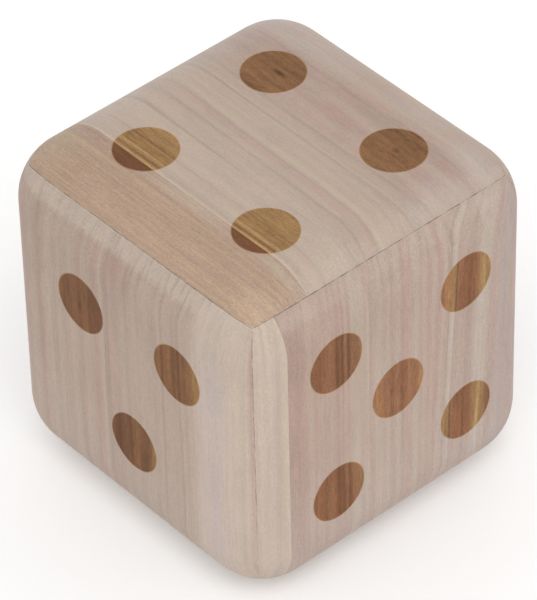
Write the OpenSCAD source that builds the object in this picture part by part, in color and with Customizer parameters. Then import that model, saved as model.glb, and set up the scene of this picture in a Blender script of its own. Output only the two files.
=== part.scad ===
// A large wooden die: a hollow cube of six mitred panels with widely rounded edges.
// Each panel is glued up from boards, tongues lock the mitres, and the spots are flush.
// Lengths are in millimetres. X runs to the right, Y to the back, and Z up from the floor.

/* [Cube] */
// Length of each edge of the cube
cube_l = 350; // [350:5:420]
// Radius of the rounded edges and corners
edge_r = 60; // [50:1:60]
// Thickness of the panels
wall_t = 32; // [28:1:36]

/* [Boards] */
// Widths of the top boards, counted from the front edge; the middle board fills the rest
top_from_front = [82, 55]; // [36:1:98]
// Widths of the top boards, counted from the back edge
top_from_back = [68, 76]; // [36:1:98]
// Widths of the bottom boards, counted from the front edge
bottom_from_front = [72, 64]; // [36:1:98]
// Widths of the bottom boards, counted from the back edge
bottom_from_back = [80]; // [36:1:98]
// Widths of the front boards, counted from the left as seen from outside
front_from_left = [85, 73]; // [36:1:98]
// Widths of the front boards, counted from the right
front_from_right = [75]; // [36:1:98]
// Widths of the right side's boards, counted from the left as seen from outside
right_from_left = [44, 93]; // [36:1:98]
// Widths of the right side's boards, counted from the right
right_from_right = [73, 64]; // [36:1:98]
// Widths of the back boards, counted from the left as seen from outside
back_from_left = [78, 60]; // [36:1:98]
// Widths of the back boards, counted from the right
back_from_right = [66]; // [36:1:98]
// Widths of the left side's boards, counted from the left as seen from outside
left_from_left = [57, 74]; // [36:1:98]
// Widths of the left side's boards, counted from the right
left_from_right = [68, 62]; // [36:1:98]

/* [Spots] */
// Diameter of each spot
spot_d = 61.5; // [44:0.5:61.5]
// Distance between the outer spots of the two, four, five and six
spot_pitch = 155; // [134:1:155]
// Distance between the upper two spots of the three
three_pair_w = 130; // [90:1:136]
// Height of the upper two spots of the three above the middle of the face
three_pair_up = 62; // [40:1:68]
// Drop of the lower spot of the three below the middle of the face
three_single_down = 62; // [40:1:68]
// Depth that the spots' finish reaches into the wood
spot_depth = 0.8; // [0.5:0.1:2]
// Shift of the top spots from the middle of the face, to the right and to the back
top_shift = [4.5, 0.5]; // [-4.5:0.5:4.5]
// Shift of the front spots from the middle of the face, to the right and up
front_shift = [11.5, 0]; // [-12:0.5:12]
// Shift of the right side's spots from the middle of the face, to the right and up
right_shift = [1.5, 4.5]; // [-4.5:0.5:4.5]
// Shift of the middle spot of the five from the middle of its other four, to the right and up
five_middle = [-5, 2]; // [-6:0.5:6]
// Angles in degrees that the spots of the top, the front and the right side are turned to the left
spot_turns = [1.5, 0.5, 0.5]; // [-1.5:0.5:1.5]

/* [Tongues] */
// Thickness of the tongues in the mitres
tongue_t = 5; // [3:0.5:6]
// Width of each tongue, half of it in either panel
tongue_w = 16; // [10:1:18]
// Distance from the cube's faces to the ends of the tongues
tongue_stop = 62; // [60:1:90]

/* [Hidden] */
$fn = 96;
half = cube_l / 2;
// Distance from the middle of the cube to the inside of a panel
inside = half - wall_t;
// Distance from the middle of the cube to the axes of the rounded edges
round_at = half - edge_r;
// Distance, on the diagonal, from the middle of the cube to the tongues halfway along the mitre
mitre_in = sqrt(2) * inside;
mitre_out = sqrt(2) * round_at + edge_r;
tongue_at = (mitre_in + mitre_out) / 2;
tongue_l = cube_l - 2 * tongue_stop;
// Overshoot of the cutting shapes past what they cut
over = 1;

// Colours of the boards and the other wood
washed = "#c6b4a4";
pinkish = "#c0a597";
tan_wood = "#b99a7c";
cream = "#cfc1ae";
grey_wood = "#b9a596";
spot_brown = "#96704d";
tongue_wood = "#d3b98f";

// Spot patterns, as [across, up] on the face
reach = spot_pitch / 2;
one = [[0, 0]];
two = [[-reach, reach], [reach, -reach]];
three = [
    [-three_pair_w / 2, three_pair_up],
    [three_pair_w / 2, three_pair_up],
    [0, -three_single_down]
];
four = concat(two, [[reach, reach], [-reach, -reach]]);
five = concat(four, [five_middle]);
six = [for (across = [-reach, reach]) for (up = [-reach, 0, reach]) [across, up]];

// Panels, each with its name, the angles to its side of the cube, the angle of its grain, the board
// widths from the low and the high side, the board colours, the spots, their shift, turn and name.
// In the panel frame the outside looks along +Z, the grain runs along X, the boards lie across Y.
PANELS = [
    ["top", [0, 0, 0], 0, top_from_front, top_from_back,
        [tan_wood, washed, washed, pinkish, washed], four, top_shift, spot_turns[0], "spots_four"],
    ["bottom", [180, 0, 0], 0, bottom_from_back, bottom_from_front,
        [washed, pinkish, washed, cream], one, [0, 0], 0, "spots_one"],
    ["front", [90, 0, 0], -90, front_from_left, front_from_right,
        [pinkish, washed, grey_wood, cream], three, front_shift, spot_turns[1], "spots_three"],
    ["right", [90, 0, 90], -90, right_from_left, right_from_right,
        [cream, pinkish, washed, washed, pinkish], five, right_shift, spot_turns[2], "spots_five"],
    ["back", [90, 0, 180], -90, back_from_left, back_from_right,
        [washed, grey_wood, pinkish, washed], six, [0, 0], 0, "spots_six"],
    ["left", [90, 0, 270], -90, left_from_left, left_from_right,
        [cream, washed, pinkish, washed, grey_wood], two, [0, 0], 0, "spots_two"]
];

// Edges of the cube, each with its name and the angles to it from the edge at the top right
EDGES = [
    ["top_right", [0, 0, 0]],
    ["top_back", [0, 0, 90]],
    ["top_left", [0, 0, 180]],
    ["top_front", [0, 0, 270]],
    ["bottom_right", [180, 0, 0]],
    ["bottom_back", [180, 0, 90]],
    ["bottom_left", [180, 0, 180]],
    ["bottom_front", [180, 0, 270]],
    ["front_right", [90, 0, 0]],
    ["back_right", [90, 0, 90]],
    ["back_left", [90, 0, 180]],
    ["front_left", [90, 0, 270]]
];

function panel_name(panel) = panel[0];
function side_angles(panel) = panel[1];
function grain_angle(panel) = panel[2];
function low_widths(panel) = panel[3];
function high_widths(panel) = panel[4];
function board_colours(panel) = panel[5];
function spot_places(panel) = panel[6];
function spot_shift(panel) = panel[7];
function spot_turn(panel) = panel[8];
function spots_name(panel) = panel[9];
function edge_angles(edge) = edge[1];

function board_count(panel) = len(low_widths(panel)) + len(high_widths(panel)) + 1;
function sum_to(widths, n) = n == 0 ? 0 : widths[n - 1] + sum_to(widths, n - 1);

// Place of joint i across a panel, where joint 0 is its low edge and the last its high edge
function joint_at(panel, i) = i <= len(low_widths(panel))
    ? -half + sum_to(low_widths(panel), i)
    : half - sum_to(high_widths(panel), board_count(panel) - i);

function board_name(panel, i) = str(panel_name(panel), "_board_", i + 1);
function tongue_name(edge) = str("tongue_", edge[0]);

// Stands what is drawn in a panel's frame on its side of the cube
module on_panel(panel) {
    translate([0, 0, half]) rotate(side_angles(panel)) rotate(grain_angle(panel)) children();
}

// The rounded outside of the cube, as far as one panel needs it
module rounded_shell() {
    translate([-round_at, -round_at, 0]) cube([2 * round_at, 2 * round_at, half]);
    for (turn = [0, 90, 180, 270]) rotate([0, 0, turn]) {
        translate([round_at, 0, round_at]) rotate([90, 0, 0])
            cylinder(r = edge_r, h = 2 * round_at, center = true);
        translate([round_at, round_at, round_at]) rotate([90, 0, 45]) sphere(r = edge_r);
    }
}

// Outline of a panel from the side: its inside, its outside and the mitres between them
module mitred_prism() {
    rotate([90, 0, 0]) linear_extrude(height = cube_l + 2 * over, center = true)
        polygon([[-inside, inside], [inside, inside], [half, half], [-half, half]]);
}

// The spots of one face, as discs from their depth up to a height over the face
module spot_discs(panel, height) {
    rotate(-grain_angle(panel)) translate([spot_shift(panel)[0], spot_shift(panel)[1], 0])
        rotate(spot_turn(panel)) for (spot = spot_places(panel))
            translate([spot[0], spot[1], half - spot_depth])
                cylinder(d = spot_d, h = spot_depth + height);
}

// The tongue of the edge at the top right, across its mitre
module tongue_body() {
    rotate([0, -45, 0]) translate([tongue_at, 0, 0])
        cube([tongue_t, tongue_l, tongue_w], center = true);
}

module board(panel, i) {
    low = joint_at(panel, i);
    high = joint_at(panel, i + 1);
    color(board_colours(panel)[i]) on_panel(panel) difference() {
        intersection() {
            rounded_shell();
            mitred_prism();
            rotate([0, 0, 90]) mitred_prism();
            translate([-half, low, 0]) cube([cube_l, high - low, half]);
        }
        for (turn = [0, 90, 180, 270]) rotate([0, 0, turn]) tongue_body();
        spot_discs(panel, over);
    }
}

module spots(panel) {
    color(spot_brown) on_panel(panel) spot_discs(panel, 0);
}

module tongue(edge) {
    color(tongue_wood) translate([0, 0, half]) rotate(edge_angles(edge)) tongue_body();
}

for (panel = PANELS) for (i = [0:board_count(panel) - 1])
    board(panel, i);
for (panel = PANELS) spots(panel);
for (edge = EDGES) tongue(edge);
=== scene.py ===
"""Looks of the wooden die cube: limed boards, clear-finished spots, a pale studio and the camera.

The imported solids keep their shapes. Each board gets its own wood, worked out in millimetres from the
middle of the cube: along the grain, across the boards, and outwards from the middle.
"""

import math

import bpy
from mathutils import Matrix, Vector


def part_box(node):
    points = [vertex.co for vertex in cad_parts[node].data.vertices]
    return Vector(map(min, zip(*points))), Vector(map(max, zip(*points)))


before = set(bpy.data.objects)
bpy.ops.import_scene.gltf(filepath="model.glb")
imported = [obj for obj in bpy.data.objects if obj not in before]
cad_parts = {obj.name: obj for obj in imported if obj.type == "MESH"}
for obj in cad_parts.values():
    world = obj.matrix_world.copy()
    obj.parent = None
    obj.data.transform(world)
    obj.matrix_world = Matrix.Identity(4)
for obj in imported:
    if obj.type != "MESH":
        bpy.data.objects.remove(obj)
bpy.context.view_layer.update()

# Sizes that the solids share, in millimetres
HALF = 175.0
SPOT_RADIUS = 30.75
REACH = 77.5
MM_PER_METRE = 1000.0
# A distance measured square to a mitre, as a share of the same distance along the face
SQUARE_TO_MITRE = 0.7071

# Camera: where it stands round the cube, and what it looks at
CAMERA_AZIMUTH = 49.189
CAMERA_ELEVATION = 41.555
CAMERA_ROLL = -1.437
CAMERA_DISTANCE = 4.2473
CAMERA_AIM = (0.0012, -0.0024, 0.1722)
CAMERA_LENS = 280.64
SENSOR = 36.0
CLIP_END = 100.0

# Lamps, in metres and watts: place, size, power and what they are aimed at
KEY_LAMP = ((1.6, -0.9, 3.2), 2.0, 26.0, (0.0, 0.0, 0.175))
LOW_LAMP_ANGLES = (45, 135, 225, 315)
LOW_LAMP_REACH = 1.8
LOW_LAMP_HEIGHT = 0.2
LOW_LAMP_SIZE = 0.9
LOW_LAMP_POWER = 3.0
LOW_LAMP_AIM = (0.0, 0.0, 0.1)

# Light of the sky on the object, and the floor, in metres, with the glow that only the camera sees
SKY_STRENGTH = 0.78
FLOOR_REACH = 12.0
FLOOR_DROP = 0.0002
FLOOR_COLOUR = "#f0f0f0"
FLOOR_GLOW = 0.2

# Each tone of the wood, limed and clear-finished
TONES = {
    "sapwood": ("#bdab9b", "#9e7a50"),
    "cream": ("#c9b7a6", "#a87f56"),
    "plain": ("#b9a596", "#886140"),
    "pink": ("#b89d90", "#805a3b"),
    "mauve": ("#b2988e", "#80593b"),
    "grey": ("#b4a193", "#765036"),
    "tan": ("#b29783", "#75492f"),
    "rust": ("#b0947f", "#70482d"),
    "amber": ("#bba085", "#a2794e"),
    "honey": ("#bdaa96", "#9e7a50"),
    "bronze": ("#b7a593", "#8f6b42"),
    "straw": ("#c3b29d", "#b99567"),
    "salmon": ("#bc9c8e", "#96694b"),
    "rose": ("#b99e90", "#8c5c3e"),
    "walnut": ("#ad998b", "#72482d"),
    "line": ("#a89385", "#643c23"),
    "peach": ("#c8ac91", "#a87850"),
    "blush": ("#b39188", "#7f5337"),
    "frost": ("#c0b3ad", "#a2794f"),
    "moss": ("#b9aa94", "#8c6040"),
    "chalk": ("#c6b6a8", "#9c7a58"),
    "milk": ("#c4b3a8", "#a98658"),
    "ash": ("#b4a198", "#865a3b"),
    "clay": ("#b0968a", "#80593b"),
}

# Colours beside the wood: the seam of a mitre, the painted highlight on its edge, a spot's marks and rim,
# the sawn tongues
SEAM_COLOUR = "#4a3d33"
EDGE_GLINT_COLOUR = "#d8ccc0"
MARK_COLOUR = "#4f321f"
RIM_COLOUR = "#b3946b"
SAWN_COLOURS = ("#c9ac80", "#dcc6a0")

# Painted shade on the clear finish of some boards, in linear red, green and blue: it darkens and warms
# the spots on the front and the right against the sheen the lamps lay on these faces
PAINTED_SHADE_TINTS = {
    "front": (0.895, 0.835, 0.72),
    "right": (0.955, 0.955, 0.94),
}

# Panels: the axes along the grain, across the boards and outwards, with their signs
PANELS = {
    "top": ("x", "y", "z"),
    "bottom": ("x", "y", "-z"),
    "front": ("z", "x", "-y"),
    "back": ("z", "x", "y"),
    "right": ("z", "y", "x"),
    "left": ("z", "y", "-x"),
}

# Spots of each panel: the middle along the grain and across the boards, how dark and how long its
# mark is, and where the mark lies from the middle of the spot
SPOTS = {
    "top": [(-70.9, -79, 0.2, 1.5, 0, 0), (-75, 75.9, 0.9, 3.2, 5, 3), (84, -74.9, 0.0, 1, 0, 0),
            (79.9, 80, 0.55, 1.2, 1.5, 1.5)],
    "bottom": [(0, 0, 0.4, 1.5, 0, 0)],
    "front": [(61.4, -54, 0.65, 2.0, -3, -2), (62.6, 76, 0.3, 1.3, -5, -4),
              (-62, 12, 0.45, 1.6, -4, -2)],
    "back": [(a, c, 0.4, 1.3, 2, 0) for a in (-REACH, 0, REACH) for c in (-REACH, REACH)],
    "right": [(82.7, 78.3, 0.0, 1, 0, 0), (81.3, -76.7, 0.0, 1, 0, 0), (-73.7, -75.3, 0.0, 1, 0, 0),
              (-72.3, 79.7, 0.0, 1, 0, 0), (6.5, -3.5, 0.0, 1, 0, 0)],
    "left": [(REACH, REACH, 0.4, 1.3, -2, 0), (-REACH, -REACH, 0.4, 1.3, 2, 0)],
}
SPOT_NODES = {
    "top": "spots_four", "bottom": "spots_one", "front": "spots_three",
    "back": "spots_six", "right": "spots_five", "left": "spots_two",
}

# What a board has where its own entry says nothing else
USUAL = dict(
    # How far the figure runs aside for each millimetre along the grain and for each millimetre of depth,
    # and by how many millimetres it hooks aside towards the high end
    lean=0.0, dip=0.0, hook=0.0,
    # Where across the panel the dip and the hook start to grow
    fan=-400.0,
    # Spacing of the rings in millimetres, and how dark they are where they leave the end grain
    ring=12.0, ticks=0.07,
    # Lightness of the limed wood: in the middle, and as a share of that at the low and the high end
    # On upright boards a low end over one is painted light bounced up from the floor
    level=1.0, low_end=1.0, high_end=1.0,
    # Strength of the limed streaks, of pink clouds, of the grain and of long fine threads
    streak=0.9, rosy=0.5, coarse=1.0, threads=0.02,
    # How chalky the end grain is, how cool the low end of a level board is, and how frosted the high and
    # the low end of an upright board are; the frost that grows towards the low end is painted floor light
    chalk=0.3, cool=0.0, frost=(0.0, 0.3),
    # Which painted shade tint darkens the clear finish
    painted_shade_tint=None)

# Boards, each with its base tone and the streaks from the low to the high side: the place across the
# panel, the limed tone and, where it differs, the clear tone
BOARDS = {
    "top_board_1": dict(
        base="tan", dip=0.4, low_end=0.96, coarse=1.6, threads=0.13, rosy=0.25, chalk=0.1, ring=7,
        tones=[(-165.5, "amber"), (-158, "tan"), (-151, "amber"), (-146, "tan"), (-140.5, "tan"),
               (-136, "amber"), (-131, "tan"), (-125, "tan"), (-121, "amber"), (-117, "tan"),
               (-112, "amber", "tan"), (-108, "tan", "rust"), (-101.5, "pink", "rust"),
               (-96, "tan", "rust"), (-93, "tan", "rust")]),
    "top_board_2": dict(
        base="sapwood", dip=-0.2, cool=0.5, level=1.02, streak=0.9, chalk=0.2, ring=16,
        tones=[(-92.5, "cream", "straw"), (-91, "cream", "straw"), (-89.5, "plain", "bronze"),
               (-87.5, "grey", "plain"), (-86, "plain", "honey"), (-83.5, "sapwood", "straw"),
               (-81, "sapwood", "bronze"), (-78.5, "sapwood", "honey"), (-74.5, "plain", "bronze"),
               (-72, "plain", "honey"), (-70, "walnut", "plain"), (-68, "sapwood", "honey"),
               (-59.5, "sapwood", "honey"), (-50, "sapwood", "honey"), (-41, "sapwood"),
               (-38.5, "plain")]),
    "top_board_3": dict(
        base="sapwood", lean=-0.025, dip=-0.3, cool=0.5, level=0.99, streak=1.1, chalk=0.2, ring=14,
        tones=[(-37.5, "walnut"), (-36, "sapwood"), (-28.5, "sapwood"), (-18.5, "plain"),
               (-16, "walnut"), (-13.5, "sapwood"), (-9, "plain"), (-4, "pink"), (-1.5, "mauve"),
               (0, "walnut"), (1.5, "sapwood"), (4, "straw"), (10.5, "plain"), (14.5, "sapwood"),
               (22.5, "plain"), (28, "sapwood"), (31, "plain")]),
    "top_board_4": dict(
        base="plain", lean=-0.01, dip=0.2, cool=0.6, level=0.98, low_end=0.98, streak=1.1, chalk=0.25,
        ring=17,
        tones=[(31, "walnut"), (32.5, "grey"), (34.5, "straw"), (37, "plain"), (44, "plain"),
               (48, "walnut"), (50.5, "plain"), (59.5, "pink", "plain"), (65.5, "plain"),
               (71.5, "pink", "plain"), (77.5, "mauve", "pink"), (83.5, "pink", "plain"),
               (89, "plain", "pink"), (95, "mauve", "pink"), (100, "mauve", "pink"),
               (105, "mauve", "plain"), (106.5, "line", "plain")]),
    "top_board_5": dict(
        base="plain", lean=0.01, dip=0.3, cool=0.6, level=0.98, streak=1.1, ring=18,
        tones=[(107.5, "walnut"), (109, "mauve"), (114, "pink"), (118, "plain"), (123, "sapwood"),
               (129, "plain"), (134, "pink"), (147.5, "sapwood")]),
    "front_board_1": dict(
        base="grey", level=0.952, low_end=1.04, high_end=0.95, streak=1.3, coarse=1.3, chalk=0.75,
        frost=(0.0, 0.2), ring=13, painted_shade_tint="front",
        tones=[(-152, "grey"), (-142.5, "plain"), (-136.5, "pink"), (-128.5, "grey"),
               (-120.5, "plain"), (-112.5, "mauve"), (-105, "plain"), (-99, "sapwood"),
               (-93, "grey")]),
    "front_board_2": dict(
        base="grey", level=0.963, low_end=1.022, high_end=0.93, streak=1.3, coarse=1.3, chalk=0.75,
        frost=(0.0, 0.2), ring=12, painted_shade_tint="front",
        tones=[(-90, "grey", "plain"), (-83, "plain"), (-77, "grey"), (-69, "plain", "grey"),
               (-61, "grey", "mauve"), (-54.5, "mauve", "walnut"), (-50.5, "plain"),
               (-47, "plain"), (-42, "grey", "walnut"), (-36, "pink", "grey"),
               (-31, "pink", "walnut"), (-26, "sapwood", "grey"), (-22, "mauve", "grey"),
               (-19.5, "walnut", "grey"), (-18, "line")]),
    "front_board_3": dict(
        base="plain", level=0.968, low_end=1.015, high_end=0.935, streak=1.0, coarse=1.15, chalk=0.75,
        frost=(0.0, 0.2), ring=8.5, ticks=0.17, painted_shade_tint="front",
        tones=[(-16.5, "walnut", "grey"), (-13, "pink", "walnut"), (-8, "mauve", "line"),
               (-4, "grey"), (3.5, "plain", "grey"), (8, "walnut", "line"), (11.5, "plain"),
               (19.5, "plain"), (23.5, "grey"), (31.5, "plain", "grey"), (39.5, "plain", "honey"),
               (45.5, "grey", "plain"), (52.5, "plain"), (56.5, "walnut", "walnut"),
               (59.5, "plain"), (67.5, "plain"), (72.5, "grey", "walnut"), (75.5, "plain"),
               (79.5, "walnut", "line"), (82.5, "sapwood", "plain"), (87, "plain", "grey"),
               (90.5, "sapwood", "plain"), (95, "sapwood", "plain"), (99, "cream", "honey")]),
    "front_board_4": dict(
        base="milk", low_end=1.02, high_end=0.96, chalk=0.6, rosy=0.2, frost=(0.0, 0.2), ring=11,
        painted_shade_tint="front",
        tones=[(100, "sapwood", "honey"), (104, "milk", "honey"), (114.5, "milk"),
               (123.5, "frost"), (132.5, "milk"), (139.5, "cream"), (144.5, "cream"),
               (150, "straw"), (152.5, "cream"), (155.5, "salmon"), (158.5, "cream")]),
    "right_board_1": dict(
        base="cream", dip=0.2, level=1.012, low_end=1.022, streak=1.3, chalk=0.1, rosy=0.1,
        frost=(0.15, 0.35), ring=7,
        tones=[(-154.5, "cream"), (-150.5, "straw"), (-146.5, "cream"), (-141.5, "sapwood"),
               (-136.5, "straw"), (-132, "cream")]),
    "right_board_2": dict(
        base="pink", dip=0.5, hook=3.0, level=0.99, low_end=1.01, high_end=0.97, streak=1.3,
        coarse=1.2, frost=(0.0, 0.35), ring=9, painted_shade_tint="right",
        tones=[(-130.5, "clay"), (-126, "clay"), (-119.5, "clay"), (-113.5, "pink"),
               (-108, "plain", "rose"), (-102, "pink", "rose"), (-96, "plain", "rose"),
               (-91.5, "pink", "rose"), (-85.5, "plain", "salmon"), (-80, "pink", "rose"),
               (-75.5, "mauve", "walnut"), (-72.5, "pink", "blush"), (-69.5, "mauve", "walnut"),
               (-66.5, "plain", "salmon"), (-62.5, "pink", "walnut"),
               (-58.5, "sapwood", "salmon"), (-52.5, "sapwood", "salmon"),
               (-46, "plain", "honey"), (-39, "sapwood")]),
    "right_board_3": dict(
        base="plain", lean=0.01, dip=0.5, hook=2.0, level=0.995, low_end=1.02, high_end=0.965,
        streak=1.3, coarse=1.25, chalk=0.2, frost=(0.1, 0.3), ring=11,
        tones=[(-38, "pink", "salmon"), (-36.5, "pink", "salmon"), (-32, "plain", "salmon"),
               (-26.5, "sapwood", "peach"), (-20.5, "plain", "salmon"),
               (-15, "sapwood", "salmon"), (-12, "pink", "rose"), (-8, "plain", "salmon"),
               (-2.5, "sapwood", "salmon"), (2, "mauve", "rose"), (4.5, "pink", "rose"),
               (8, "salmon"), (13, "plain", "salmon"), (18.5, "sapwood", "salmon"),
               (23.5, "pink", "peach"), (28.5, "plain", "honey"), (33, "salmon"), (38, "plain")]),
    "right_board_4": dict(
        base="plain", lean=0.045, dip=0.9, hook=10.0, fan=45, level=0.985, low_end=1.015,
        high_end=0.97, streak=1.3, coarse=1.2, chalk=0.2, frost=(0.15, 0.35), ring=12, painted_shade_tint="right",
        tones=[(38, "plain", "salmon"), (40.5, "salmon"), (43.5, "mauve", "salmon"),
               (46, "salmon"), (48.5, "sapwood", "salmon"), (52.5, "pink", "peach"),
               (54.5, "grey", "peach"), (56, "line", "peach"), (57.5, "sapwood", "honey"),
               (61.5, "milk", "honey"), (64, "mauve", "walnut"), (65.5, "pink", "salmon"),
               (72, "plain", "rose"), (77, "pink", "rose"), (79.5, "mauve", "blush"),
               (84, "grey", "rose"), (86.5, "pink", "rose"), (90, "sapwood", "salmon"),
               (92.5, "milk", "honey"), (98, "milk", "straw"), (101, "sapwood", "honey")]),
    "right_board_5": dict(
        base="ash", lean=0.045, dip=0.9, hook=10.0, level=0.975, low_end=1.02, high_end=0.985,
        streak=1.3, coarse=1.25, chalk=0.2, frost=(0.25, 0.4), ring=14, painted_shade_tint="right",
        tones=[(102, "sapwood", "honey"), (107, "pink", "salmon"), (113, "pink"),
               (120, "ash", "plain"), (127, "ash"), (135, "pink"), (145.5, "ash"), (157, "ash")]),
    "bottom_board_1": dict(
        base="plain", dip=0.4,
        tones=[(95, "plain"), (112, "sapwood"), (128, "pink"), (150, "plain")]),
    "bottom_board_2": dict(
        base="pink", lean=0.02, dip=0.3,
        tones=[(-39, "pink"), (-24, "mauve"), (-8, "pink"), (10, "plain"), (31, "pink"),
               (38, "walnut"), (42, "pink"), (66, "plain"), (95, "pink")]),
    "bottom_board_3": dict(
        base="plain", lean=-0.02, dip=-0.4,
        tones=[(-103, "plain"), (-84, "grey"), (-66, "plain"), (-50, "sapwood"),
               (-40, "plain")]),
    "bottom_board_4": dict(
        base="cream", dip=-0.5,
        tones=[(-160, "cream"), (-140, "sapwood"), (-124, "cream"), (-112, "honey"),
               (-104, "cream")]),
    "back_board_1": dict(
        base="plain", dip=0.5, hook=3.0,
        tones=[(97, "plain"), (108, "sapwood"), (122, "plain"), (140, "pink"), (158, "plain")]),
    "back_board_2": dict(
        base="grey", lean=0.015, dip=0.5,
        tones=[(37, "grey"), (46, "walnut"), (50, "grey"), (66, "plain"), (80, "grey"),
               (96, "plain")]),
    "back_board_3": dict(
        base="pink", lean=-0.015, dip=-0.5, hook=-2.0,
        tones=[(-109, "pink"), (-95, "mauve"), (-78, "pink"), (-60, "plain"), (-42, "salmon"),
               (-36, "pink"), (-18, "plain"), (-2, "pink"), (4, "walnut"), (8, "pink"),
               (24, "sapwood"), (36, "plain")]),
    "back_board_4": dict(
        base="plain", dip=-0.6,
        tones=[(-160, "plain"), (-144, "sapwood"), (-130, "plain"), (-118, "grey"),
               (-110, "plain")]),
    "left_board_1": dict(
        base="cream", dip=0.4,
        tones=[(118, "cream"), (132, "sapwood"), (146, "cream"), (160, "honey")]),
    "left_board_2": dict(
        base="plain", lean=0.01, dip=0.6, hook=3.0,
        tones=[(44, "plain"), (58, "sapwood"), (74, "plain"), (82, "walnut"), (86, "plain"),
               (102, "sapwood"), (117, "plain")]),
    "left_board_3": dict(
        base="pink", lean=0.02, dip=-0.4,
        tones=[(-45, "pink"), (-30, "salmon"), (-22, "pink"), (-4, "mauve"), (14, "pink"),
               (28, "plain"), (43, "pink")]),
    "left_board_4": dict(
        base="plain", dip=-0.5, hook=-2.0,
        tones=[(-107, "plain"), (-92, "sapwood"), (-78, "plain"), (-66, "grey"), (-46, "plain")]),
    "left_board_5": dict(
        base="grey", dip=-0.5,
        tones=[(-160, "grey"), (-146, "plain"), (-132, "grey"), (-122, "walnut"), (-118, "grey"),
               (-108, "plain")]),
}

# Soft patches on boards: the middle along and across, half the length and width, tone and strength
PATCHES = {
    "top_board_1": [
        (130, -100.5, 34, 8, "moss", 0.6), (144, -112.5, 22, 1.8, "rust", 0.6),
        (10, -96, 68, 13, "honey", 0.7), (-92, -144, 34, 13, "rust", 0.5),
        (152, -142, 36, 26, "peach", 0.45), (-140, -125, 45, 34, "moss", 0.35)],
    "top_board_3": [(125, -17.5, 26, 6, "walnut", 0.4)],
    "top_board_4": [
        (9, 77.5, 36, 13, "blush", 0.5), (128, 97, 13, 8, "blush", 0.5),
        (133, 51.5, 13, 10, "blush", 0.35), (-116, 82.5, 14, 30, "walnut", 0.3),
        (150, 70, 30, 50, "frost", 0.4)],
    "top_board_5": [
        (-100, 130, 110, 30, "frost", 0.45), (60, 135, 60, 18, "frost", 0.35),
        (135, 125, 45, 30, "frost", 0.5)],
    "front_board_2": [(124, -22, 26, 5, "blush", 0.35)],
    "front_board_3": [(129, -0.5, 34, 20, "blush", 0.42)],
    "front_board_4": [(135, 128, 45, 32, "straw", 0.4)],
    "right_board_2": [
        (100, -118, 60, 10, "blush", 0.15), (149, -118, 20, 24, "chalk", 0.15),
        (157, -84, 15, 34, "pink", 0.7), (-135, -125, 26, 16, "chalk", 0.3),
        (-165, -75, 24, 60, "pink", 0.5)],
    "right_board_3": [(98, -12, 70, 30, "blush", 0.35), (-165, 0, 24, 60, "pink", 0.45)],
    "right_board_4": [
        (143, 64.5, 18, 4, "line", 0.85), (120, 58.5, 18, 3, "line", 0.8),
        (70, 48, 60, 12, "blush", 0.3), (-165, 70, 24, 60, "pink", 0.45)],
    "right_board_5": [(-130, 110, 40, 14, "frost", 0.35)],
}

# Noises: the length of a wave along, across and outwards in millimetres, then how detailed and how
# rough it is, and how wide it spreads about zero
NOISES = {
    "fibre": ((13, 1.3, 1.3), 2, 0.6, 2.6),
    "slow": ((260, 90, 90), 1, 0.5, 6),
    "wavy": ((70, 24, 24), 2, 0.5, 1.8),
    "threads": ((150, 1.5, 4), 2, 0.6, 3),
    "bands": ((420, 30, 45), 2, 0.6, 3),
    "growth": ((190, 3.4, 9), 3, 0.6, 3),
    "uneven": ((330, 22, 30), 1, 0.5, 16),
    "shown": ((150, 11, 20), 2, 0.5, 3),
    "thin": ((280, 4.5, 10), 1, 0.5, 2),
    "broken": ((60, 8, 12), 2, 0.5, 3),
    "fade": ((130, 9, 20), 2, 0.5, 2),
    "patches": ((48, 15, 15), 3, 0.65, 3),
    "speck": ((2.6, 1.3, 1.3), 1, 0.5, 3),
    "pores": ((7, 0.8, 0.8), 1, 0.5, 2),
    "seam": ((16, 16, 16), 3, 0.7, 2),
    "blotch": ((8, 3, 3), 2, 0.5, 3),
    "rim": ((14, 14, 14), 2, 0.5, 3),
    "saw": ((2.5, 2.5, 2.5), 1, 0.5, 2),
}
# How far the noises are moved from one board to the next, in millimetres
SEED_STEP = (431.0, 97.0, 53.0)

# How much each field of the figure lightens the limed wood, where the second ones are multiplied by how
# coarse the board is, and the clear-finished wood, and how far each one stands out
LIMED_SHADE = {"Bands": 0.03, "Rings": -0.045, "Lines": -0.06, "Patches": 0.07}
LIMED_GRAIN = {"Growth": 0.042, "Fibre": 0.07, "Speck": 0.08, "Pores": -0.08}
CLEAR_SHADE = {"Bands": 0.08, "Growth": 0.16, "Rings": -0.1, "Threads": 0.1, "Lines": -0.18,
               "Fibre": 0.3, "Patches": 0.2, "Speck": 0.2, "Pores": -0.3}
RELIEF = {"Growth": 0.2, "Fibre": 0.4, "Pores": -1.0}

# Millimetres: where the figure starts to hook aside, how wide the fan is, and how far the streaks of a
# board reach past its outer ones
HOOK_START = 80.0
FAN_WIDTH = 50.0
RAMP_MARGIN = 12

# Stretches along the grain, in millimetres from the middle, over which the look of a board changes
LOW_END = (-120, -20)
HIGH_END = (10, 110)
FOOT = (-146, -122)
TICKS = (130, 146)
CHALK = (139, 147)
COOL = (-95, -160)
FROST_AND_FLOOR_LIGHT = (10, -125)
# How much lighter the foot of an upright board gets, as painted light bounced up from the floor
FOOT_LIGHT = 0.022

# The mitres: distances from the seam, in millimetres, over which its line, the soft shade beside it and
# the painted highlight on its edge come and go, and the stretch over which an upright seam gets stronger
SEAM_LINE = (0.15, 0.62)
SEAM_SHADE = (0.4, 4.5)
EDGE_GLINT_FROM = (0.5, 0.9)
EDGE_GLINT_TO = (1.3, 2.4)
SEAM_RISE = (-150, -20)
# How strong the painted highlight on the mitre edge is on the front boards and on the others
EDGE_GLINT_FRONT = 0.25
EDGE_GLINT_OTHERS = 0.1

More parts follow.
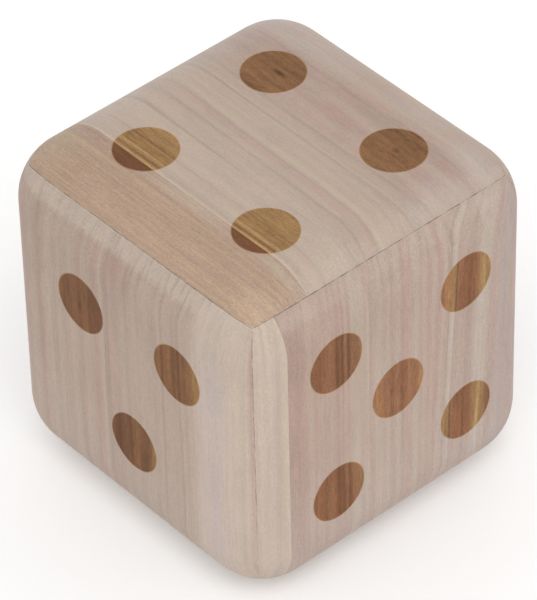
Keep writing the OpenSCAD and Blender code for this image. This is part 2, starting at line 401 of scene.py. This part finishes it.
# Width of the golden rim inside a spot's edge, in millimetres, and of the edge that is only rim
RIM_WIDTH = 1.2
RIM_FULL = 0.5

# Surfaces: how rough they are, how much their relief adds to that, how shiny they are, and how strong
# the relief looks; then its depth in metres
SURFACES = {
    "limed": (0.66, 0.03, 0.2, 0.25),
    "clear": (0.5, 0.04, 0.15, 0.2),
    "sawn": (0.75, 0.0, 0.3, 0.4),
}
RELIEF_DEPTH = 0.0002


def linear(colour):
    """Turns "#rrggbb" into linear red, green, blue and alpha."""
    parts = [int(colour[i:i + 2], 16) / 255 for i in (1, 3, 5)]
    return [p / 12.92 if p <= 0.04045 else ((p + 0.055) / 1.055) ** 2.4 for p in parts] + [1.0]


def limed_tone(name):
    return linear(TONES[name][0])


class Net:
    """Adds nodes to a node tree. A value is a socket to link from, or what to set."""

    def __init__(self, tree):
        self.tree = tree

    def give(self, socket, value):
        if isinstance(value, bpy.types.NodeSocket):
            self.tree.links.new(value, socket)
        else:
            socket.default_value = value

    def put(self, kind, inputs=None, **settings):
        node = self.tree.nodes.new(kind)
        for name, value in settings.items():
            setattr(node, name, value)
        for name, value in (inputs or {}).items():
            self.give(node.inputs[name], value)
        return node

    def math(self, operation, *values, clamp=False):
        node = self.put("ShaderNodeMath", operation=operation, use_clamp=clamp)
        for socket, value in zip(node.inputs, values):
            self.give(socket, value)
        return node.outputs[0]

    def vector(self, operation, *values):
        node = self.put("ShaderNodeVectorMath", operation=operation)
        for socket, value in zip(node.inputs, values):
            self.give(socket, value)
        return node.outputs[0]

    def length(self, vector):
        node = self.put("ShaderNodeVectorMath", operation="LENGTH")
        self.give(node.inputs[0], vector)
        return node.outputs["Value"]

    def scale(self, vector, amount):
        node = self.put("ShaderNodeVectorMath", {"Scale": amount}, operation="SCALE")
        self.give(node.inputs[0], vector)
        return node.outputs[0]

    def mix(self, factor, low, high, beyond=False):
        """Mixes two colours; beyond lets a factor over one go past the second."""
        node = self.put("ShaderNodeMix", data_type="RGBA", clamp_factor=not beyond)
        self.give(node.inputs["Factor"], factor)
        self.give(node.inputs["A"], low)
        self.give(node.inputs["B"], high)
        return node.outputs["Result"]

    def split(self, vector):
        return self.put("ShaderNodeSeparateXYZ", {"Vector": vector}).outputs

    def join(self, x, y, z):
        return self.put("ShaderNodeCombineXYZ", {"X": x, "Y": y, "Z": z}).outputs[0]

    def noise(self, vector, name):
        """One of the NOISES at a place in millimetres, about zero."""
        stretch, detail, rough, spread = NOISES[name]
        scaled = self.vector("MULTIPLY", vector, [1 / s for s in stretch])
        node = self.put("ShaderNodeTexNoise", {
            "Vector": scaled, "Scale": 1.0, "Detail": detail, "Roughness": rough})
        return self.math("MULTIPLY", self.math("SUBTRACT", node.outputs[0], 0.5), spread)

    def ease(self, value, start, end, low=0.0, high=1.0):
        """Runs smoothly from low to high while the value goes from start to end."""
        node = self.put("ShaderNodeMapRange", {
            "Value": value, "From Min": start, "From Max": end, "To Min": low, "To Max": high},
            interpolation_type="SMOOTHSTEP")
        return node.outputs[0]

    def total(self, *values):
        result = values[0]
        for value in values[1:]:
            result = self.math("ADD", result, value)
        return result

    def shares(self, fields, amounts, times=1.0):
        """Some fields, each multiplied by its amount."""
        return [self.math("MULTIPLY", fields[name], amount * times)
                for name, amount in amounts.items()]


def new_group(name, inputs, outputs):
    """Makes a node group and returns its tree, the sockets of its inputs, and its output node."""
    tree = bpy.data.node_groups.new(name, "ShaderNodeTree")
    for label, kind in inputs:
        tree.interface.new_socket(label, in_out="INPUT", socket_type="NodeSocket" + kind)
    for label, kind in outputs:
        tree.interface.new_socket(label, in_out="OUTPUT", socket_type="NodeSocket" + kind)
    net = Net(tree)
    start = net.put("NodeGroupInput")
    end = net.put("NodeGroupOutput")
    return net, start.outputs, end.inputs


def make_fields():
    """The figure that all boards share: waviness, rings, growth lines, bands, patches and fibres."""
    settings = ("Lean", "Dip", "Hook", "Fan", "Ring")
    fields = ("Across", "Bands", "Growth", "Rings", "Threads", "Lines", "Fibre", "Patches", "Fade",
              "Speck", "Pores")
    net, given, out = new_group(
        "wood_fields",
        [("Place", "Vector"), ("Seed", "Vector")] + [(label, "Float") for label in settings],
        [(label, "Float") for label in fields])
    place = net.vector("ADD", given["Place"], given["Seed"])
    along, across, outward = net.split(given["Place"])
    fibre = net.noise(place, "fibre")
    slow = net.noise(place, "slow")
    wavy = net.noise(place, "wavy")

    # The figure leans all over, but dips and hooks only on the far side of the fan
    past = net.math("MAXIMUM", net.math("SUBTRACT", along, HOOK_START), 0.0)
    high = net.math("MULTIPLY", past, 1 / HOOK_START)
    fanned = net.ease(across, given["Fan"], net.math("ADD", given["Fan"], FAN_WIDTH))
    bend = net.total(
        net.math("MULTIPLY", net.math("SUBTRACT", HALF, outward), given["Dip"]),
        net.math("MULTIPLY", net.math("MULTIPLY", high, high), given["Hook"]))
    bend = net.total(
        net.math("MULTIPLY", along, given["Lean"]), net.math("MULTIPLY", bend, fanned))
    straight = net.math("SUBTRACT", net.math("ADD", across, slow), bend)
    moved = net.total(straight, wavy, net.math("MULTIPLY", fibre, 0.5))

    # Noises that follow the figure, the threads without its small waves
    parts = net.split(place)
    seed_across = net.split(given["Seed"])[1]
    threaded = net.join(parts[0], net.math("ADD", straight, seed_across), parts[2])
    moved_on = net.math("ADD", moved, seed_across)
    ringed = net.join(parts[0], moved_on, parts[2])
    net.give(out["Across"], moved)
    net.give(out["Threads"], net.noise(threaded, "threads"))
    net.give(out["Bands"], net.noise(ringed, "bands"))
    net.give(out["Growth"], net.noise(ringed, "growth"))
    net.give(out["Fade"], net.ease(net.noise(ringed, "fade"), -0.8, 0.8, 0.4, 1.0))

    # Rings darken up to their late wood, and show only here and there
    turns = net.math("DIVIDE", net.math("ADD", moved_on, net.noise(ringed, "uneven")), given["Ring"])
    late = net.ease(net.math("FRACT", turns), 0.45, 0.97)
    shown = net.ease(net.noise(ringed, "shown"), -0.4, 0.8, 0.15, 1.0)
    net.give(out["Rings"], net.math("MULTIPLY", late, shown))

    # Thin lines lie where a noise passes zero
    thin = net.ease(net.math("ABSOLUTE", net.noise(ringed, "thin")), 0.0, 0.1, 1.0, 0.0)
    broken = net.ease(net.noise(place, "broken"), -0.2, 0.8)
    net.give(out["Lines"], net.math("MULTIPLY", thin, broken))

    net.give(out["Fibre"], fibre)
    net.give(out["Patches"], net.noise(place, "patches"))
    net.give(out["Speck"], net.noise(place, "speck"))
    net.give(out["Pores"], net.ease(net.noise(place, "pores"), 0.2, 0.55))
    return net.tree


def tone_ramp(net, tones, finish, factor, low, high):
    """A colour ramp across a board, through its tones in one finish."""
    node = net.put("ShaderNodeValToRGB", {"Fac": factor})
    ramp = node.color_ramp
    ramp.interpolation = "LINEAR"
    ramp.elements.remove(ramp.elements[1])
    for number, (place, *pair) in enumerate(tones):
        at = (place - low) / (high - low)
        element = ramp.elements[0] if number == 0 else ramp.elements.new(at)
        element.position = at
        element.color = linear(TONES[pair[-1] if finish else pair[0]][finish])
    return node.outputs[0]


def add_patches(net, limed, name, along, across, uneven):
    """Lays a board's soft patches over its limed colour."""
    for a, c, length, width, tone, strength in PATCHES.get(name, ()):
        aside = net.join(net.math("SUBTRACT", along, a), net.math("SUBTRACT", across, c), 0.0)
        scaled = net.vector("MULTIPLY", aside, (1 / length, 1 / width, 0.0))
        far = net.math("ADD", net.length(scaled), uneven)
        limed = net.mix(net.ease(far, 0.2, 1.1, strength, 0.0), limed, limed_tone(tone))
    return limed


def make_board_wood(name, number, fields):
    """The wood of one board, limed and clear-finished, and how high its surface stands."""
    board = {**USUAL, **BOARDS[name]}
    net, given, out = new_group(
        "wood_of_" + name,
        [("Place", "Vector")],
        [("Limed", "Color"), ("Clear", "Color"), ("Relief", "Float")])
    figure = net.put("ShaderNodeGroup", node_tree=fields)
    net.give(figure.inputs["Place"], given["Place"])
    figure.inputs["Seed"].default_value = [step * number for step in SEED_STEP]
    for label in ("Lean", "Dip", "Hook", "Fan", "Ring"):
        figure.inputs[label].default_value = board[label.lower()]
    field = figure.outputs
    along, across, outward = net.split(given["Place"])
    tones = board["tones"]
    low, high = tones[0][0] - RAMP_MARGIN, tones[-1][0] + RAMP_MARGIN
    factor = net.math("DIVIDE", net.math("SUBTRACT", field["Across"], low), high - low, clamp=True)
    upright = PANELS[name.split("_")[0]][0] == "z"

    # Lightness of the limed wood: its level along the board, with painted light from the floor at an
    # upright board's foot, the rings at the end grain, the figure
    level = board["level"]
    ends = net.total(
        net.ease(along, *LOW_END, level * board["low_end"], level),
        net.ease(along, *HIGH_END, 0.0, level * (board["high_end"] - 1.0)))
    # Painted light bounced up from the floor onto the rounded foot
    if upright:
        ends = net.math("ADD", ends, net.ease(along, *FOOT, FOOT_LIGHT, 0.0))
    tip = net.math("ADD", net.math("ABSOLUTE", along), net.math("MULTIPLY", field["Growth"], 3.0))
    ticks = net.math("MULTIPLY", field["Rings"], net.ease(tip, *TICKS, 0.0, -board["ticks"]))
    limed_shade = net.total(
        ends, ticks, *net.shares(field, LIMED_SHADE),
        *net.shares(field, {"Threads": board["threads"]}),
        *net.shares(field, LIMED_GRAIN, board["coarse"]))

    # Colour of the limed wood: streaks, pink clouds, patches, pale ends, and a painted highlight along
    # the mitre edge
    limed = tone_ramp(net, tones, 0, factor, low, high)
    streaks = net.math("MULTIPLY", field["Fade"], board["streak"])
    limed = net.mix(streaks, limed_tone(board["base"]), limed, beyond=True)
    clouds = net.math("ADD", field["Bands"], field["Patches"])
    limed = net.mix(net.ease(clouds, 0.1, 1.4, 0.0, board["rosy"]), limed, limed_tone("pink"))
    uneven = net.total(*net.shares(field, {"Patches": 0.25, "Fibre": 0.12}))
    limed = add_patches(net, limed, name, along, across, uneven)
    # Painted light: frost that grows towards an upright board's foot stands for light bounced from the
    # floor
    if upright:
        frost_and_floor_light = net.ease(along, *FROST_AND_FLOOR_LIGHT, *board["frost"])
        limed = net.mix(frost_and_floor_light, limed, limed_tone("frost"))
    if board["cool"]:
        cooled = net.ease(along, *COOL, 0.0, board["cool"])
        limed = net.mix(cooled, limed, limed_tone("frost"))
    chalky = net.ease(tip, *CHALK, 0.0, board["chalk"])
    limed = net.mix(chalky, limed, limed_tone("chalk"))
    # Painted highlight: a pale line just beside the mitre, brightest on the front boards
    beside = net.math("SUBTRACT", outward, net.math("ABSOLUTE", along))
    beside = net.math("MULTIPLY", beside, SQUARE_TO_MITRE)
    bright = EDGE_GLINT_FRONT if name.startswith("front") else EDGE_GLINT_OTHERS
    edge_glint = net.math("MULTIPLY", net.ease(beside, *EDGE_GLINT_FROM),
                    net.ease(beside, *EDGE_GLINT_TO, bright, 0.0))
    limed = net.mix(edge_glint, limed, linear(EDGE_GLINT_COLOUR))

    # The clear finish has the same streaks and figure in deeper tones
    clear = tone_ramp(net, tones, 1, factor, low, high)
    clear_streaks = net.ease(field["Fade"], 0.2, 1.0, 0.6, 1.0)
    clear = net.mix(clear_streaks, linear(TONES[board["base"]][1]), clear)
    # Painted shade: the clear finish of the front and right boards darkened against the lamps' sheen
    if board["painted_shade_tint"]:
        clear = net.vector("MULTIPLY", clear, PAINTED_SHADE_TINTS[board["painted_shade_tint"]])
    clear_shade = net.total(1.0, *net.shares(field, CLEAR_SHADE))

    net.give(out["Limed"], net.scale(limed, limed_shade))
    net.give(out["Clear"], net.scale(clear, clear_shade))
    net.give(out["Relief"], net.total(*net.shares(field, RELIEF)))
    return net.tree


def panel_place(net, panel):
    """The point shaded, in millimetres from the middle of the cube, on a panel's own axes."""
    here = net.put("ShaderNodeTexCoord").outputs["Object"]
    centred = net.vector("SUBTRACT", net.scale(here, MM_PER_METRE), (0.0, 0.0, HALF))
    sides = dict(zip("xyz", net.split(centred)))
    axes = []
    for axis in PANELS[panel]:
        value = sides[axis[-1]]
        axes.append(net.math("MULTIPLY", value, -1.0) if axis[0] == "-" else value)
    return axes


def seam_mask(net, along, across, out, upright):
    """How dark the mitre seam is here: a thin line in a soft shade, broken along its length."""
    far_along, far_across = net.math("ABSOLUTE", along), net.math("ABSOLUTE", across)
    edge = net.math("MAXIMUM", far_along, far_across)
    gap = net.math("ABSOLUTE", net.math("SUBTRACT", out, edge))
    gap = net.math("MULTIPLY", gap, SQUARE_TO_MITRE)
    run = net.noise(net.join(along, across, out), "seam")
    line = net.math("MULTIPLY", net.ease(gap, *SEAM_LINE, 1.0, 0.0),
                    net.ease(run, -0.35, 0.35, 0.1, 0.85))
    shade = net.math("MULTIPLY", net.ease(gap, *SEAM_SHADE, 0.09, 0.0),
                     net.ease(run, -0.5, 0.5, 0.4, 1.0))
    dark = net.math("MAXIMUM", line, shade)
    if not upright:
        return dark
    # The seams up the corners get weaker towards the floor
    beside = net.math("GREATER_THAN", far_across, far_along)
    weaker = net.math("MULTIPLY", beside, net.ease(along, *SEAM_RISE, 0.75, 0.2))
    return net.math("MULTIPLY", dark, net.math("SUBTRACT", 1.0, weaker))


def finish_surface(net, colour, relief, kind):
    """The shader of a wooden surface, with its colour, roughness and fine relief."""
    rough, added, specular, bump = SURFACES[kind]
    if added:
        rough = net.math("ADD", net.math("MULTIPLY", relief, added), rough)
    raised = net.put("ShaderNodeBump", {
        "Height": relief, "Strength": bump, "Distance": RELIEF_DEPTH})
    shader = net.put("ShaderNodeBsdfPrincipled", {
        "Base Color": colour, "Roughness": rough, "Specular IOR Level": specular,
        "Normal": raised.outputs[0]})
    output = net.put("ShaderNodeOutputMaterial")
    net.give(output.inputs["Surface"], shader.outputs[0])


def new_material(name):
    material = bpy.data.materials.new(name)
    material.use_nodes = True
    material.node_tree.nodes.clear()
    return material, Net(material.node_tree)


def wear(node, material):
    """Puts a material on a CAD node."""
    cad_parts[node].material_slots[0].material = material


def make_board_material(name, panel, wood):
    material, net = new_material("limed_" + name)
    along, across, out = panel_place(net, panel)
    group = net.put("ShaderNodeGroup", node_tree=wood)
    net.give(group.inputs["Place"], net.join(along, across, out))
    dark = seam_mask(net, along, across, out, PANELS[panel][0] == "z")
    colour = net.mix(dark, group.outputs["Limed"], linear(SEAM_COLOUR))
    finish_surface(net, colour, group.outputs["Relief"], "limed")
    return material


def low_side(name, panel):
    """The low side of a board across its panel, in millimetres from the middle."""
    axis = "xyz".index(PANELS[panel][1])
    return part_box(name)[0][axis] * MM_PER_METRE


def make_spot_material(panel, boards, woods):
    """The clear finish over the same boards, with a thin golden rim and small marks at the middle."""
    material, net = new_material("clear_" + SPOT_NODES[panel])
    along, across, out = panel_place(net, panel)
    place = net.join(along, across, out)

    # The boards from the low to the high side, each from its joint on
    colour = relief = None
    for low, name in sorted((low_side(name, panel), name) for name in boards):
        group = net.put("ShaderNodeGroup", node_tree=woods[name])
        net.give(group.inputs["Place"], place)
        if colour is None:
            colour, relief = group.outputs["Clear"], group.outputs["Relief"]
            continue
        past = net.math("GREATER_THAN", across, low)
        colour = net.mix(past, colour, group.outputs["Clear"])

    blotch = net.noise(place, "blotch")
    nearest = mark = None
    for a, c, darkness, length, up, aside_by in SPOTS[panel]:
        aside = net.join(net.math("SUBTRACT", along, a), net.math("SUBTRACT", across, c), 0.0)
        distance = net.length(aside)
        nearest = distance if nearest is None else net.math("MINIMUM", nearest, distance)
        if darkness:
            centred = net.vector("SUBTRACT", aside, (up, aside_by, 0.0))
            near = net.length(net.vector("MULTIPLY", centred, (1 / length, 1.0, 0.0)))
            dark = net.ease(net.math("ADD", near, blotch), 0.3, 4.2, darkness, 0.0)
            mark = dark if mark is None else net.math("MAXIMUM", mark, dark)
    if mark is not None:
        colour = net.mix(mark, colour, linear(MARK_COLOUR))
    patchy = net.ease(net.noise(place, "rim"), -0.8, 0.8, 0.3, 0.8)
    rim = net.math("MULTIPLY", patchy, net.ease(nearest, SPOT_RADIUS - RIM_WIDTH, SPOT_RADIUS - RIM_FULL))
    colour = net.mix(rim, colour, linear(RIM_COLOUR))
    finish_surface(net, colour, relief, "clear")
    return material


def make_tongue_material(fields):
    """Bare sawn wood for the tongues inside the mitres."""
    material, net = new_material("sawn_tongues")
    place = net.scale(net.put("ShaderNodeTexCoord").outputs["Object"], MM_PER_METRE)
    figure = net.put("ShaderNodeGroup", node_tree=fields)
    net.give(figure.inputs["Place"], place)
    saw = net.noise(place, "saw")
    amount = net.total(0.5, net.math("MULTIPLY", figure.outputs["Growth"], 0.3),
                       net.math("MULTIPLY", saw, 0.2))
    amount = net.math("MINIMUM", net.math("MAXIMUM", amount, 0.0), 1.0)
    colour = net.mix(amount, *[linear(colour) for colour in SAWN_COLOURS])
    finish_surface(net, colour, saw, "sawn")
    return material


def make_wood():
    fields = make_fields()
    woods = {}
    for number, name in enumerate(BOARDS):
        woods[name] = make_board_wood(name, number + 1, fields)
    for panel in PANELS:
        boards = [name for name in BOARDS if name.startswith(panel + "_")]
        for name in boards:
            wear(name, make_board_material(name, panel, woods[name]))
        wear(SPOT_NODES[panel], make_spot_material(panel, boards, woods))
    tongue = make_tongue_material(fields)
    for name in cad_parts:
        if name.startswith("tongue_"):
            wear(name, tongue)


def seen_directly(net):
    """One for what the camera, a mirror or a glass sees, and zero for the light on the object."""
    path = net.put("ShaderNodeLightPath").outputs
    seen = net.math("MAXIMUM", path["Is Camera Ray"], path["Is Glossy Ray"])
    return net.math("MAXIMUM", seen, path["Is Transmission Ray"])


def make_floor():
    """A wide pale floor that shows white to the camera and keeps the cube's shadow."""
    mesh = bpy.data.meshes.new("studio_floor")
    corners = [(x * FLOOR_REACH, y * FLOOR_REACH, -FLOOR_DROP)
               for x, y in ((-1, -1), (1, -1), (1, 1), (-1, 1))]
    mesh.from_pydata(corners, [], [(0, 1, 2, 3)])
    floor = bpy.data.objects.new("studio_floor", mesh)
    bpy.context.scene.collection.objects.link(floor)
    material, net = new_material("studio_floor")
    shader = net.put("ShaderNodeBsdfPrincipled", {
        "Base Color": linear(FLOOR_COLOUR), "Roughness": 0.9, "Specular IOR Level": 0.1})
    glow = net.put("ShaderNodeEmission", {"Color": (1, 1, 1, 1)})
    net.give(glow.inputs["Strength"], net.math("MULTIPLY", seen_directly(net), FLOOR_GLOW))
    both = net.put("ShaderNodeAddShader")
    net.give(both.inputs[0], shader.outputs[0])
    net.give(both.inputs[1], glow.outputs[0])
    output = net.put("ShaderNodeOutputMaterial")
    net.give(output.inputs["Surface"], both.outputs[0])
    mesh.materials.append(material)


def make_world():
    """A sky that lights the object evenly and shows white to the camera."""
    world = bpy.data.worlds.new("studio")
    world.use_nodes = True
    world.node_tree.nodes.clear()
    net = Net(world.node_tree)
    level = net.ease(seen_directly(net), 0.0, 1.0, SKY_STRENGTH, 1.0)
    sky = net.put("ShaderNodeBackground", {"Color": (1, 1, 1, 1), "Strength": level})
    output = net.put("ShaderNodeOutputWorld")
    net.give(output.inputs["Surface"], sky.outputs[0])
    bpy.context.scene.world = world


def make_lamp(name, place, size, power, aim):
    data = bpy.data.lights.new(name, "AREA")
    data.shape = "DISK"
    data.size = size
    data.energy = power
    lamp = bpy.data.objects.new(name, data)
    lamp.location = place
    lamp.rotation_euler = (Vector(aim) - Vector(place)).to_track_quat("-Z", "Y").to_euler()
    bpy.context.scene.collection.objects.link(lamp)


def make_lamps():
    """A large soft key lamp from above, and four weak ones low round the cube."""
    make_lamp("key", *KEY_LAMP)
    for number, angle in enumerate(LOW_LAMP_ANGLES):
        turn = math.radians(angle)
        place = (LOW_LAMP_REACH * math.cos(turn), LOW_LAMP_REACH * math.sin(turn), LOW_LAMP_HEIGHT)
        make_lamp(f"low_{number}", place, LOW_LAMP_SIZE, LOW_LAMP_POWER, LOW_LAMP_AIM)


def make_camera():
    azimuth, elevation = math.radians(CAMERA_AZIMUTH), math.radians(CAMERA_ELEVATION)
    roll = math.radians(CAMERA_ROLL)
    back = Vector((math.sin(azimuth) * math.cos(elevation), -math.cos(azimuth) * math.cos(elevation),
                   math.sin(elevation)))
    level = Vector((math.cos(azimuth), math.sin(azimuth), 0.0))
    upright = back.cross(level)
    right = level * math.cos(roll) + upright * math.sin(roll)
    up = back.cross(right)
    turn = Matrix((right, up, back)).transposed().to_4x4()
    data = bpy.data.cameras.new("camera")
    data.lens = CAMERA_LENS
    data.sensor_width = SENSOR
    data.clip_end = CLIP_END
    camera = bpy.data.objects.new("camera", data)
    camera.matrix_world = Matrix.Translation(Vector(CAMERA_AIM) + back * CAMERA_DISTANCE) @ turn
    bpy.context.scene.collection.objects.link(camera)
    bpy.context.scene.camera = camera


make_camera()
make_wood()
make_floor()
make_world()
make_lamps()
bpy.context.scene.view_settings.view_transform = "Standard"
